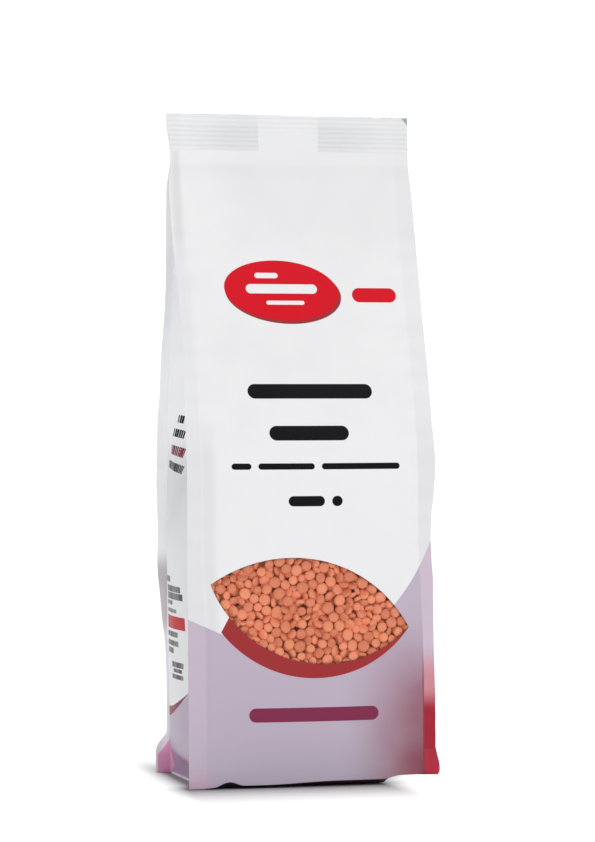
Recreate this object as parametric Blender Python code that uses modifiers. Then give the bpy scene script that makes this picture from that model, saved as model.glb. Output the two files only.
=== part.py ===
# Bag of red lentils: a filled 500 g pouch with four corner seals, side gussets and a lens-shaped window.
# Metres, +Z up. The front faces -Y, and the origin is the middle of the base, on the surface it stands on.

import math
import random

import bmesh
import bpy
from mathutils import Matrix, Vector

# Overall size of the filled pouch
HEIGHT = 0.250
PANEL_WIDTH = 0.082
DEPTH = 0.057
FIN_WIDTH = 0.0058
GUSSET_WIDTH = 0.058
SEAL_HEIGHT = 0.0135

# How full it is, and how the wedge above the fill closes to the flat neck
FILL_HEIGHT = 0.125
WEDGE_SLOPE = 0.264
WEDGE_ROUNDING = 0.0022
NECK_START = 0.227
FRONT_BULGE = 0.0035
BACK_BULGE = 0.0028
SIDE_BULGE = 0.0040

# Film layers are thicker here than the real film, so that each is a sound solid
FIN_THICKNESS = 0.0007
NECK_THICKNESS = 0.0016
LAYER = 0.0007
CRIMP_PITCH = 0.0034
CRIMP_RELIEF = 0.0003

# Where the corner seals begin on the left and on the right, low on the bag
LEFT_SEAM = 0.0400
RIGHT_SEAM = 0.0416

# How the standing bag leans and sags forward, and how its front edge lifts off the surface
LEAN_X = -0.0015
LEAN_Y = 0.0045
BELLY_FORWARD = 0.0018
FRONT_LIFT = 0.0008
EDGE_LIFT = 0.0010
CORNER_LIFT = 0.0020
EDGE_ROUNDING = 0.0008
BASE_INSET = 0.0035

# Window in the front panel: two arcs that meet in points, the lower one deeper, turned a little
WINDOW_X = -0.0012
WINDOW_Z = 0.0668
WINDOW_HALF_LENGTH = 0.0386
WINDOW_RISE = 0.0172
WINDOW_DROP = 0.0208
WINDOW_TILT = math.radians(-12.5)
WINDOW_FLOOR_Y = -0.0237
GAP = 0.0003

# Lentils behind the window
LENTIL_RADIUS = (0.0018, 0.0024)
LENTIL_FLATNESS = 0.52
LENTIL_SPACING = 0.0040
LENTIL_SIDES = 8
FILM_CLEARANCE = 0.0002
CORE_BELOW_FILM = 0.0020
SEED = 11

ACROSS_STEPS = 10
GUSSET_STEPS = 6
WINDOW_STEPS = 22
HALF_WIDTH = PANEL_WIDTH / 2


def smooth_step(low, high, value):
    share = min(max((value - low) / (high - low), 0.0), 1.0)
    return share * share * (3.0 - 2.0 * share)


def hump(value, centre, reach):
    return max(0.0, 1.0 - ((value - centre) / reach) ** 2) ** 2


def half_depth(z):
    # Half the distance between the front and back panels at their edges
    full = DEPTH / 2
    wedge = full - WEDGE_SLOPE * (z - FILL_HEIGHT)
    blend = WEDGE_ROUNDING
    rounded = -blend * math.log(math.exp(-wedge / blend) + math.exp(-full / blend))
    return max(rounded, LAYER)


def fullness(z):
    # 1 where lentils press on the film, falling to 0 up the wedge and part way down at the base
    return (0.35 + 0.65 * smooth_step(0.0, 0.022, z)) * (1.0 - smooth_step(0.115, 0.200, z))


def panel_y(x, z, side):
    # Surface of the front (side -1) or back (side 1) panel before the bag leans
    bulge = FRONT_BULGE if side < 0 else BACK_BULGE
    across = max(0.0, 1.0 - (x / HALF_WIDTH) ** 2)
    return side * (half_depth(z) + bulge * fullness(z) * across)


def gusset_reach(share, z):
    # How far the side gusset stands out from the panel edges; share runs -1 to 1 from front to back
    slack = max((GUSSET_WIDTH / 2) ** 2 - half_depth(z) ** 2, 0.0)
    opening = smooth_step(0.096, 0.140, z)
    folded = opening * (1.0 - smooth_step(0.218, 0.232, z))
    crease = max(0.0, 1.0 - abs(share) / (0.25 + 0.75 * opening))
    valley = math.sqrt(slack) * folded * (0.65 * crease + 0.35 * (1.0 - abs(share)))
    filled = SIDE_BULGE * (0.4 + 0.6 * smooth_step(0.0, 0.02, z)) * (1.0 - smooth_step(0.088, 0.128, z))
    return filled * (1.0 - share * share) - valley


def seam_x(side_x, z):
    # Where a corner seal begins: it wanders a little down the bag
    if side_x < 0:
        return LEFT_SEAM + 0.0017 * smooth_step(0.050, 0.090, z)
    return RIGHT_SEAM - 0.0008 * smooth_step(0.060, 0.100, z)


def fin_shape(side_x, side_y, z):
    # Width of one corner fin, and the angle it curls towards the front
    width = HALF_WIDTH + FIN_WIDTH - seam_x(side_x, z)
    curl = 0.0
    if side_x < 0:
        width -= 0.0012 * hump(z, 0.234, 0.013)
    if side_x < 0 and side_y > 0:
        curl += math.radians(52.0) * smooth_step(0.008, 0.021, z) * (1.0 - smooth_step(0.032, 0.080, z))
        curl += math.radians(24.0) * hump(z, 0.180, 0.034)
        width -= 0.0007 * hump(z, 0.188, 0.050) + 0.0011 * hump(z, 0.073, 0.018)
    if side_x < 0 and side_y < 0:
        curl += math.radians(30.0) * hump(z, 0.168, 0.040)
    if side_x > 0 and side_y < 0:
        width += 0.0007 * hump(z, 0.118, 0.017) - 0.0009 * hump(z, 0.092, 0.018)
        width += 0.0013 * (1.0 - smooth_step(0.003, 0.013, z))
        width += 0.0005 * (1.0 - smooth_step(0.030, 0.060, z))
        width += 0.0005 * smooth_step(0.105, 0.125, z) * (1.0 - smooth_step(0.215, 0.235, z))
    return width, curl * (1.0 - smooth_step(0.215, 0.230, z))


def settle(point):
    # Lifts the front edge of the base off the surface, leans the top and lets the belly sag forward
    x, y, z = point
    near_front = smooth_step(0.012, DEPTH / 2, -y)
    lift = FRONT_LIFT * smooth_step(-0.042, -0.030, x) + EDGE_LIFT * smooth_step(-0.020, 0.010, x)
    lift += CORNER_LIFT * smooth_step(0.026, 0.034, x)
    z += lift * near_front * (1.0 - smooth_step(0.0, 0.020, z))
    up = z / HEIGHT
    y += LEAN_Y * up * up - BELLY_FORWARD * hump(z, 0.132, 0.060)
    return Vector((x + LEAN_X * up, y, z))


def film_y(x, z):
    # The film surface over the window, leaning with the bag
    return settle((x, panel_y(x, z, -1), z)).y


def outline_ring(z, inset=0.0):
    # One closed loop round the pouch, seen from above and running anticlockwise from the front left corner
    ring = []
    half = half_depth(z)
    for side_y in (-1, 1):
        for step in range(ACROSS_STEPS):
            x = side_y * (HALF_WIDTH - PANEL_WIDTH * step / ACROSS_STEPS)
            ring.append((x * seam_x(x, z) / HALF_WIDTH, panel_y(x, z, side_y)))
        for step in range(GUSSET_STEPS):
            share = side_y * (1.0 - 2.0 * step / GUSSET_STEPS)
            ring.append((-side_y * (seam_x(-side_y, z) + gusset_reach(share, z)), share * half))
    shrink_x = 1.0 - inset / HALF_WIDTH
    shrink_y = 1.0 - inset / (DEPTH / 2)
    return [(x * shrink_x, y * shrink_y) for x, y in ring]


def body_heights():
    # Close together where the gusset starts to fold and where the wedge closes
    low = [EDGE_ROUNDING, 0.004, 0.010, 0.020, 0.034, 0.050, 0.066, 0.082, 0.096]
    fold = [0.096 + 0.007 * step for step in range(1, 8)]
    wedge = [0.145 + 0.0095 * step for step in range(1, 8)]
    close = [0.217, 0.222, 0.226, 0.229, 0.232]
    return low + fold + wedge + close


def material(name, colour, roughness):
    result = bpy.data.materials.new(name)
    result.use_nodes = True
    shader = result.node_tree.nodes["Principled BSDF"]
    shader.inputs["Base Color"].default_value = (*colour, 1.0)
    shader.inputs["Roughness"].default_value = roughness
    return result


def mesh_object(name, mesh, collection):
    result = bpy.data.objects.new(name, mesh)
    collection.objects.link(result)
    return result


def mesh_from(bm, name):
    bmesh.ops.recalc_face_normals(bm, faces=bm.faces)
    mesh = bpy.data.meshes.new(name)
    bm.to_mesh(mesh)
    bm.free()
    return mesh


def pouch_body():
    # The filled bag without its fins and seal: a loft from the block bottom to the flat neck
    bm = bmesh.new()
    sections = [(0.0, BASE_INSET)] + [(z, 0.0) for z in body_heights()]
    rings = []
    for z, inset in sections:
        points = [(x, y, z) for x, y in outline_ring(z, inset)]
        if inset == 0.0:
            points = [settle(point) for point in points]
        rings.append([bm.verts.new(point) for point in points])
    count = len(rings[0])
    for lower, upper in zip(rings, rings[1:]):
        for index in range(count):
            after = (index + 1) % count
            bm.faces.new((lower[index], lower[after], upper[after], upper[index]))
    bm.faces.new(reversed(rings[0]))
    bm.faces.new(rings[-1])
    return mesh_from(bm, "pouch")


def film_strip(name, columns, rows, place, thickness, collection):
    # A grid whose points are placed by a rule, given its thickness by Solidify
    bpy.ops.mesh.primitive_grid_add(x_subdivisions=columns, y_subdivisions=rows, size=1.0)
    strip = bpy.context.object
    strip.name = name
    for vertex in strip.data.vertices:
        vertex.co = place(vertex.co.x + 0.5, vertex.co.y + 0.5)
    solidify = strip.modifiers.new("thickness", "SOLIDIFY")
    solidify.thickness = thickness
    solidify.offset = 0.0
    move_to(strip, collection)
    return strip


def move_to(obj, collection):
    for owner in list(obj.users_collection):
        owner.objects.unlink(obj)
    collection.objects.link(obj)


def add_corner_fins(collection):
    # Four flat seals, one down each upright edge, each rooted just inside the body and curling in its own way
    inside = 0.002
    for side_x in (-1, 1):
        for side_y in (-1, 1):

            def place(across, up, side_x=side_x, side_y=side_y):
                z = 0.0004 + (NECK_START + 0.007) * up
                width, curl = fin_shape(side_x, side_y, z)
                along = (width + inside) * across - inside
                turn = curl * min(1.0, max(0.0, along / width) * 1.5)
                x = seam_x(side_x, z) + (along * math.cos(turn) if along > 0.0 else along)
                y = side_y * max(half_depth(z) - 0.0001 - FIN_THICKNESS / 2, 0.0004)
                y -= max(along, 0.0) * math.sin(turn)
                return settle((side_x * x, y, z))

            film_strip("fin", 4, 34, place, FIN_THICKNESS, collection)


def add_neck_and_seal(collection):
    # The layers pressed flat above the wedge, with the crimped seal across the top
    seal_start = HEIGHT - SEAL_HEIGHT
    neck_rows = 2
    seal_rows = 16

    def place(across, up):
        row = up * (neck_rows + seal_rows)
        if row <= neck_rows:
            z = NECK_START + (seal_start - NECK_START) * row / neck_rows
        else:
            z = seal_start + SEAL_HEIGHT * (row - neck_rows) / seal_rows
        wave = math.sin(2.0 * math.pi * (z - seal_start) / CRIMP_PITCH)
        y = CRIMP_RELIEF * wave if z > seal_start else 0.0
        x = (HALF_WIDTH + FIN_WIDTH) * (2.0 * across - 1.0)
        return settle((x, y, z))

    film_strip("seal", 2, neck_rows + seal_rows, place, NECK_THICKNESS, collection)


def window_outline(inset=0.0):
    # Two arcs that meet at the ends of the window, about the middle of its long axis
    length = WINDOW_HALF_LENGTH - 2.0 * inset
    points = []
    for side, full_height in ((1, WINDOW_RISE), (-1, WINDOW_DROP)):
        height = full_height - inset
        radius = (length ** 2 + height ** 2) / (2.0 * height)
        sweep = math.asin(length / radius)
        for step in range(WINDOW_STEPS):
            angle = side * sweep * (1.0 - 2.0 * step / WINDOW_STEPS)
            points.append((radius * math.sin(angle), side * (radius * math.cos(angle) - radius + height)))
    return points


def window_prism(name, inset, front_y, back_y, collection):
    # The window's outline carried straight back through the front of the bag
    bm = bmesh.new()
    turn = Matrix.Rotation(WINDOW_TILT, 2)
    corners = []
    for point in window_outline(inset):
        u, w = turn @ Vector(point)
        corners.append(bm.verts.new((WINDOW_X + u, front_y, WINDOW_Z + w)))
    face = bm.faces.new(corners)
    result = bmesh.ops.extrude_face_region(bm, geom=[face])
    moved = [item for item in result["geom"] if isinstance(item, bmesh.types.BMVert)]
    bmesh.ops.translate(bm, verts=moved, vec=(0.0, back_y - front_y, 0.0))
    return mesh_object(name, mesh_from(bm, name), collection)


def apply_boolean(target, operation, operand, solver="EXACT"):
    # Applies one Boolean with an object or a whole collection
    modifier = target.modifiers.new(operation.lower(), "BOOLEAN")
    modifier.operation = operation
    modifier.solver = solver
    if isinstance(operand, bpy.types.Collection):
        modifier.operand_type = "COLLECTION"
        modifier.collection = operand
    else:
        modifier.object = operand
    bpy.context.view_layer.objects.active = target
    with bpy.context.temp_override(object=target, active_object=target, selected_objects=[target]):
        bpy.ops.object.modifier_apply(modifier=modifier.name)


def remove_all(collection):
    for obj in list(collection.objects):
        bpy.data.objects.remove(obj)
    bpy.data.collections.remove(collection)


def child_collection(name):
    collection = bpy.data.collections.new(name)
    bpy.context.scene.collection.children.link(collection)
    return collection


def make_pouch(parts):
    pouch = mesh_object("pouch", pouch_body(), parts)
    additions = child_collection("film layers")
    add_corner_fins(additions)
    add_neck_and_seal(additions)
    apply_boolean(pouch, "UNION", additions)
    recess = window_prism("recess", 0.0, -0.050, WINDOW_FLOOR_Y, additions)
    apply_boolean(pouch, "DIFFERENCE", recess)
    remove_all(additions)
    pouch.data.materials.append(material("film", (0.83, 0.82, 0.84), 0.42))
    return pouch


def lentil_core(parts):
    # The heap behind the window below its top layer: a slab that follows the film
    bpy.ops.mesh.primitive_grid_add(x_subdivisions=12, y_subdivisions=4, size=1.0)
    core = bpy.context.object
    core.name = "lentils"
    core.data.name = "lentils"
    move_to(core, parts)
    margin = 0.003
    bm = bmesh.new()
    bm.from_mesh(core.data)
    for vertex in bm.verts:
        x = WINDOW_X + 2.0 * vertex.co.x * (WINDOW_HALF_LENGTH + margin)
        z = WINDOW_Z + 2.0 * vertex.co.y * (WINDOW_HALF_LENGTH * 0.6 + margin)
        vertex.co = (x, film_y(x, z) + CORE_BELOW_FILM, z)
    front = list(bm.faces)
    result = bmesh.ops.extrude_face_region(bm, geom=front)
    for item in result["geom"]:
        if isinstance(item, bmesh.types.BMVert):
            item.co.y = WINDOW_FLOOR_Y + 2.0 * GAP
    bmesh.ops.recalc_face_normals(bm, faces=bm.faces)
    bm.to_mesh(core.data)
    bm.free()
    return core


def lentil_places(draw):
    # A loosened triangular grid over the window, in the window's own directions
    turn = Matrix.Rotation(WINDOW_TILT, 2)
    row_gap = LENTIL_SPACING * math.sqrt(3.0) / 2.0
    rows = int(WINDOW_DROP / row_gap) + 1
    columns = int(WINDOW_HALF_LENGTH / LENTIL_SPACING) + 1
    places = []
    for row in range(-rows, rows + 1):
        for column in range(-columns, columns + 1):
            u = (column + 0.5 * (row % 2)) * LENTIL_SPACING + draw.uniform(-0.0006, 0.0006)
            w = row * row_gap + draw.uniform(-0.0006, 0.0006)
            height = WINDOW_RISE if w > 0.0 else WINDOW_DROP
            radius = (WINDOW_HALF_LENGTH ** 2 + height ** 2) / (2.0 * height)
            if abs(w) < math.sqrt(max(radius ** 2 - u * u, 0.0)) - radius + height + 0.0004:
                point = turn @ Vector((u, w))
                places.append((WINDOW_X + point.x, WINDOW_Z + point.y))
    return places


def lentil_mesh(x, z, draw):
    # One flat round seed, tilted, whose highest point is just under the film
    radius = draw.uniform(*LENTIL_RADIUS)
    half_thickness = radius * LENTIL_FLATNESS
    tilt = math.radians(abs(draw.gauss(0.0, 26.0)))
    turn = draw.uniform(0.0, 2.0 * math.pi)
    spin = draw.uniform(0.0, 2.0 * math.pi)
    facing = Matrix.Rotation(math.pi / 2, 4, "X")
    lean = Matrix.Rotation(tilt, 4, (math.cos(turn), 0.0, math.sin(turn)))
    reach = math.hypot(radius * math.sin(tilt), half_thickness * math.cos(tilt))
    place = Matrix.Translation((x, film_y(x, z) + FILM_CLEARANCE + reach, z))
    size = Matrix.Diagonal((radius, radius, half_thickness, 1.0))
    bm = bmesh.new()
    bmesh.ops.create_uvsphere(bm, u_segments=LENTIL_SIDES, v_segments=3, radius=1.0)
    turned = place @ lean @ facing @ Matrix.Rotation(spin, 4, "Z")
    bmesh.ops.transform(bm, matrix=turned @ size, verts=bm.verts)
    return mesh_from(bm, "lentil")


def make_lentils(parts):
    draw = random.Random(SEED)
    lentils = lentil_core(parts)
    seeds = child_collection("loose lentils")
    for x, z in lentil_places(draw):
        mesh_object("lentil", lentil_mesh(x, z, draw), seeds)
    apply_boolean(lentils, "UNION", seeds)
    window = window_prism("window", GAP, -0.050, WINDOW_FLOOR_Y - GAP, seeds)
    apply_boolean(lentils, "INTERSECT", window)
    remove_all(seeds)
    lentils.data.materials.append(material("lentil", (0.62, 0.20, 0.11), 0.55))
    return lentils


def main():
    for obj in list(bpy.data.objects):
        bpy.data.objects.remove(obj)
    parts = child_collection("bag of lentils")
    make_pouch(parts)
    make_lentils(parts)


main()
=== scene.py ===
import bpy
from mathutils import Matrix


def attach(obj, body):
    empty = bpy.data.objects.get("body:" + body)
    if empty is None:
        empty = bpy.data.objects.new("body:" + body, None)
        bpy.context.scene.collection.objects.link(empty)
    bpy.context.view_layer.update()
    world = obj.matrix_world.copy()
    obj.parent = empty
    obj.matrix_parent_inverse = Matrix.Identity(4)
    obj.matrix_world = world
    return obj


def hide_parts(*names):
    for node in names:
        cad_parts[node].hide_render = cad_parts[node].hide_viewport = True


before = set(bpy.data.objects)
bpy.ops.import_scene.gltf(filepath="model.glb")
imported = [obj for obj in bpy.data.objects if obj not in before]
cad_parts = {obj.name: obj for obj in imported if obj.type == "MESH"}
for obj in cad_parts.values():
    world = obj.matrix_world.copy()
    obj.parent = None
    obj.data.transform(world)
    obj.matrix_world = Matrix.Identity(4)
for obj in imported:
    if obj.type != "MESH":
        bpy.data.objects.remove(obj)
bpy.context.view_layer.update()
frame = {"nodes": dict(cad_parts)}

import math
import random

import bmesh
import bpy
import numpy as np
from mathutils import Matrix, Vector, noise

print("frame loaded:", ", ".join(frame["nodes"]))

mm = 0.001

# The filled pouch, in metres: the same form as its solid, with thin film and finer folds
pouch = dict(
    height=0.250, panelWidth=0.082, depth=0.057, finWidth=0.0058, gussetWidth=0.058,
    sealHeight=0.0135, fillHeight=0.125, wedgeSlope=0.264, wedgeRounding=0.0022,
    frontBulge=0.0035, backBulge=0.0028, sideBulge=0.0040,
    neckHalf=0.00042, finFilm=0.00020,
    leanX=-0.0015, leanY=0.0045, bellyForward=0.0018,
    tuckHeight=0.0096, tuckDepth=0.0034,
    crimpPitch=0.00178, crimpRelief=0.00013, crimpBandHeight=0.0052, foldStep=0.00010,
    bandShare=0.85, jawEdge=0.0004, lapStep=0.00016, baseHang=0.008,
    rowGap=0.00125, sealRowGap=0.00030, panelSteps=72, gussetSteps=46, finSteps=4,
)
halfWidth = pouch["panelWidth"] / 2
halfGusset = pouch["gussetWidth"] / 2
sealStart = pouch["height"] - pouch["sealHeight"]

# The window: two arcs that meet in points, the lower one deeper, turned a little on the front panel
window = dict(x=-0.0012, z=0.0668, halfLength=0.0386, rise=0.0172, drop=0.0208, tilt=math.radians(-12.5),
              lip=0.00014, filmThickness=0.00008, pocketFloor=-0.0237, steps=60)


def smoothStep(low, high, value):
    share = min(max((value - low) / (high - low), 0.0), 1.0)
    return share * share * (3.0 - 2.0 * share)


def fading(value, low, high):
    return 1.0 - smoothStep(low, high, value)


def plateau(value, start, full, stillFull, gone):
    return smoothStep(start, full, value) * fading(value, stillFull, gone)


def stepped(start, steps, value):
    # A start value and the steps added to it, each as how much and between which places
    for amount, low, high in steps:
        start += amount * smoothStep(low, high, value)
    return start


def hump(value, centre, reach):
    return max(0.0, 1.0 - ((value - centre) / reach) ** 2) ** 2


def halfDepth(z):
    full = pouch["depth"] / 2
    wedge = full - pouch["wedgeSlope"] * (z - pouch["fillHeight"])
    blend = pouch["wedgeRounding"]
    rounded = -blend * math.log(math.exp(-wedge / blend) + math.exp(-full / blend))
    return max(rounded, pouch["neckHalf"])


def fullness(z):
    # 1 where lentils press on the film
    return (0.35 + 0.65 * smoothStep(0.0, 0.022, z)) * fading(z, 0.115, 0.200)


def gussetFold(z):
    slack = max(halfGusset ** 2 - halfDepth(z) ** 2, 0.0)
    return math.sqrt(slack)


# How far from the middle the sides begin, in metres, and how each seam wanders up the pouch
seams = dict(right=(0.0428, [(-0.0018, 0.045, 0.100)]), frontLeft=(0.0400, [(0.0017, 0.050, 0.090)]),
             backLeft=(0.0420, [(0.0007, 0.030, 0.060), (-0.0008, 0.150, 0.200)]))


def seamX(sideX, toBack, z):
    # Where the side begins, for toBack from -1 at the front seam to 1 at the back seam
    if sideX > 0:
        return stepped(*seams["right"], z)
    front, back = stepped(*seams["frontLeft"], z), stepped(*seams["backLeft"], z)
    return front + (back - front) * (toBack + 1.0) / 2.0


# Small unevenness of the film, in metres: broad and fine swells, what the slack wedge above the fill adds to
# them, puckers and a groove along the seams, and where up the pouch each is found
uneven = dict(broad=0.00030, broadWedge=0.00040, fine=0.00005, fineWedge=0.00007, pucker=0.00011,
              puckerPitch=0.0105, groove=0.00042, grooveWidth=0.0009, side=0.00050, sideWedge=0.00040,
              wedge=(0.120, 0.160, 0.222, 0.238), puckersEnd=(0.200, 0.225), grooveEnd=(0.205, 0.230),
              sideEnd=(0.205, 0.225))


def panelRelief(x, z, side):
    # Small outward swells and puckers of a main panel, beyond its plain bulge; x runs to 0.041 at the seams
    edge = abs(x) / halfWidth
    broad = noise.noise(Vector((x / 0.030, side * 3.7, z / 0.042)))
    fine = noise.noise(Vector((x / 0.011, side * 9.1, z / 0.016)))
    inWedge = plateau(z, *uneven["wedge"])
    relief = (uneven["broad"] + uneven["broadWedge"] * inWedge) * broad * (1.0 - edge ** 6)
    relief += (uneven["fine"] + uneven["fineWedge"] * inWedge) * fine
    drift = 5.0 * noise.noise(Vector((z / 0.03, side, 2.0)))
    pucker = math.sin(2.0 * math.pi * z / uneven["puckerPitch"] + drift)
    relief += uneven["pucker"] * pucker * smoothStep(0.84, 0.97, edge) * fading(z, *uneven["puckersEnd"])
    groove = math.exp(-((abs(x) - halfWidth) / uneven["grooveWidth"]) ** 2)
    relief -= uneven["groove"] * groove * fading(z, *uneven["grooveEnd"])
    # the folded gusset lies behind the film in the wedge, and its edge shows as a faint step
    foldEdge = halfWidth - gussetFold(z)
    behind = smoothStep(foldEdge - 0.0012, foldEdge + 0.0012, abs(x))
    return relief + pouch["foldStep"] * behind * smoothStep(0.165, 0.215, z)


def inLayers(x):
    # 1 where the folded gussets lie between the panels in the seal
    return smoothStep(0.0112, 0.0118, abs(x))


def crimp(x, z):
    # Ribs pressed by the sealing jaws: right across at the top, and over the gusset layers below
    if z <= sealStart:
        return 0.0
    bandStart = pouch["height"] - pouch["crimpBandHeight"]
    inBand = smoothStep(bandStart - pouch["jawEdge"], bandStart, z)
    strength = max(pouch["bandShare"] * inBand, inLayers(x) * (1.0 - (1.0 - pouch["bandShare"]) * inBand))
    return pouch["crimpRelief"] * strength * math.sin(2.0 * math.pi * (z - sealStart) / pouch["crimpPitch"])


def panelY(x, z, side):
    bulge = pouch["frontBulge"] if side < 0 else pouch["backBulge"]
    across = max(0.0, 1.0 - (x / halfWidth) ** 2)
    out = halfDepth(z) + bulge * fullness(z) * across
    if z < sealStart:
        out += panelRelief(x, z, side) * plateau(z, 0.0, 0.008, sealStart - 0.01, sealStart)
    if side > 0:
        out += pouch["lapStep"] * plateau(x, -0.0053, -0.0049, 0.0046, 0.0054)
    jaws = smoothStep(sealStart - pouch["jawEdge"], sealStart + pouch["jawEdge"], z)
    return side * (out + pouch["foldStep"] * inLayers(x) * jaws) + crimp(x, z)


# The side gussets: where up the pouch the inward fold begins and flattens out and the outward swell ends, how
# much of the fold is sharp, and how the tucked base rises towards the back
gusset = dict(foldRise=(0.096, 0.140), foldEnd=(0.218, 0.232), swellEnd=(0.088, 0.128),
              sharp=0.65, spread=0.25, tuckMiddle=0.85, tuckRise=0.25)


def gussetReach(share, z, sideX):
    # How far the side gusset stands out from the panel edges, from front (-1) to back (1)
    rise = smoothStep(*gusset["foldRise"], z)
    close = fading(z, *gusset["foldEnd"])
    crease = max(0.0, 1.0 - abs(share) / (gusset["spread"] + (1.0 - gusset["spread"]) * rise))
    fold = gusset["sharp"] * crease + (1.0 - gusset["sharp"]) * (1.0 - abs(share))
    valley = gussetFold(z) * rise * close * fold
    filled = pouch["sideBulge"] * smoothStep(0.0, 0.02, z) * fading(z, *gusset["swellEnd"])
    swell = noise.noise(Vector((share * 1.6, sideX * 5.0, z / 0.028)))
    relief = (uneven["side"] + uneven["sideWedge"] * rise * close) * swell * (1.0 - share ** 4)
    relief *= smoothStep(0.0, 0.012, z) * fading(z, *uneven["sideEnd"])
    tuckTop = pouch["tuckHeight"] * (gusset["tuckMiddle"] + gusset["tuckRise"] * share)
    tuck = 2.0 * pouch["tuckDepth"] * smoothStep(0.0, 0.005, z) * max(0.0, 1.0 - z / tuckTop)
    return filled * (1.0 - share * share) - valley + relief - tuck * (1.0 - share ** 6)


# How the corner fins depart from straight ones: left (-1) or right (1), front (-1) or back (1), how much
# wider in metres or how far curled to the front in degrees, and where up the fin, in metres, as the middle
# and reach of a hump or as the start, full, still full and end of a plateau
belowBase = (-0.002, -0.001)
finForms = [
    (-1, -1, "wider", -0.0012, (0.234, 0.013)),
    (-1, -1, "curl", 30.0, (0.168, 0.040)),
    (-1, 1, "wider", -0.0012, (0.234, 0.013)),
    (-1, 1, "wider", -0.0006, (0.090, 0.020)),
    (-1, 1, "wider", -0.0007, (0.188, 0.050)),
    (-1, 1, "wider", -0.0010, (0.067, 0.016)),
    (-1, 1, "wider", -0.0004, (0.147, 0.012)),
    (-1, 1, "wider", 0.0007, (*belowBase, 0.007, 0.015)),
    (-1, 1, "curl", -101.0, (0.0055, 0.0175, 0.040, 0.090)),  # folded back behind the pouch low down
    (-1, 1, "curl", 24.0, (0.180, 0.034)),
    (1, -1, "wider", 0.0007, (0.118, 0.017)),
    (1, -1, "wider", -0.0009, (0.092, 0.018)),
    (1, -1, "wider", 0.0013, (*belowBase, 0.003, 0.013)),
    (1, -1, "wider", 0.0005, (*belowBase, 0.030, 0.060)),
    (1, -1, "wider", 0.0005, (0.105, 0.125, 0.215, 0.235)),
    (1, -1, "wider", -0.0007, (*belowBase, 0.0, 0.0016)),
    (1, -1, "curl", 24.0, (*belowBase, 0.009, 0.0125)),
]


def finCurl(sideX, sideY, z):
    # Angle that a corner fin turns towards the front, in radians, and how much wider it is than usual
    wander = 0.10 * noise.noise(Vector((z / 0.035, sideX * 4.0, sideY * 6.0)))
    amounts = dict(wider=0.0, curl=math.degrees(wander))
    for formX, formY, kind, amount, reach in finForms:
        if (formX, formY) == (sideX, sideY):
            amounts[kind] += amount * (hump(z, *reach) if len(reach) == 2 else plateau(z, *reach))
    return math.radians(amounts["curl"]), amounts["wider"]


def finPoint(sideX, sideY, fraction, z, layer):
    # layer is how far this face lies behind the fin's outer face
    curl, wider = finCurl(sideX, sideY, z)
    calm = fading(z, 0.215, 0.236)  # the fins lie flat in the seal
    root = seamX(sideX, sideY, z)
    reach = (halfWidth + pouch["finWidth"] - root + wider) * fraction
    turn = curl * calm * min(1.0, fraction * 1.5)
    x = sideX * (root + reach * math.cos(turn) + layer * math.sin(turn) * sideY)
    y = panelY(sideX * halfWidth, z, sideY) - sideY * layer * math.cos(turn) - reach * math.sin(turn)
    return x, y


# How the pouch stands, in metres: how far its front edge is lifted from the floor, as a start and the steps
# from left to right, the crease at the left, and where the right side hangs clear, from the front nearly to
# the back
stance = dict(lift=(0.0004, [(0.0008, -0.042, -0.030), (0.0010, -0.020, 0.010), (0.0012, 0.026, 0.034)]),
              crease=0.0015, creasePlace=(-0.0318, 0.0055), liftTop=0.020, hangX=(0.022, 0.034),
              hangY=(-0.026, -0.008), belly=(0.132, 0.060), topWave=0.00035)


def cornerHang(x, y):
    return smoothStep(*stance["hangX"], x) * smoothStep(*stance["hangY"], -y)


def settle(x, y, z):
    # Lifts the front edge of the base and leans the top, as in the solid
    nearFront = smoothStep(0.012, pouch["depth"] / 2, -y)
    lift = stepped(*stance["lift"], x) + stance["crease"] * hump(x, *stance["creasePlace"])
    z += lift * max(nearFront, cornerHang(x, y)) * fading(z, 0.0, stance["liftTop"])
    up = z / pouch["height"]
    if z > sealStart:
        wave = noise.noise(Vector((x / 0.012, 7.0, 0.0)))
        z += stance["topWave"] * wave * (z - sealStart) / pouch["sealHeight"]
    y += pouch["leanY"] * up * up - pouch["bellyForward"] * hump(z, *stance["belly"])
    return Vector((x + pouch["leanX"] * up, y, z))


def skinPoint(panel, place, z):
    # A point of the film: place runs left to right across the panel, seen from outside
    thin = pouch["finFilm"]
    if panel in ("front", "back"):
        sideY = -1 if panel == "front" else 1
        x = place * -sideY
        if abs(x) > halfWidth:
            fraction = (abs(x) - halfWidth) / pouch["finWidth"]
            return settle(*finPoint(math.copysign(1, x), sideY, fraction, z, 0.0), z)
        return settle(x * seamX(x, sideY, z) / halfWidth, panelY(x, z, sideY), z)
    sideX = 1 if panel == "right" else -1
    toBack = place * sideX
    if abs(toBack) > halfGusset:
        fraction = (abs(toBack) - halfGusset) / pouch["finWidth"]
        return settle(*finPoint(sideX, math.copysign(1, toBack), fraction, z, thin), z)
    share = toBack / halfGusset
    frontY = panelY(sideX * halfWidth, z, -1) + thin
    y = frontY + (panelY(sideX * halfWidth, z, 1) - thin - frontY) * (share + 1.0) / 2.0
    return settle(sideX * (seamX(sideX, share, z) + gussetReach(share, z, sideX)), y, z)


# The printed web, in millimetres: the middle of each panel when the film lies flat
webMiddle = dict(front=0.0, right=100.0, back=200.0, left=300.0)


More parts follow.
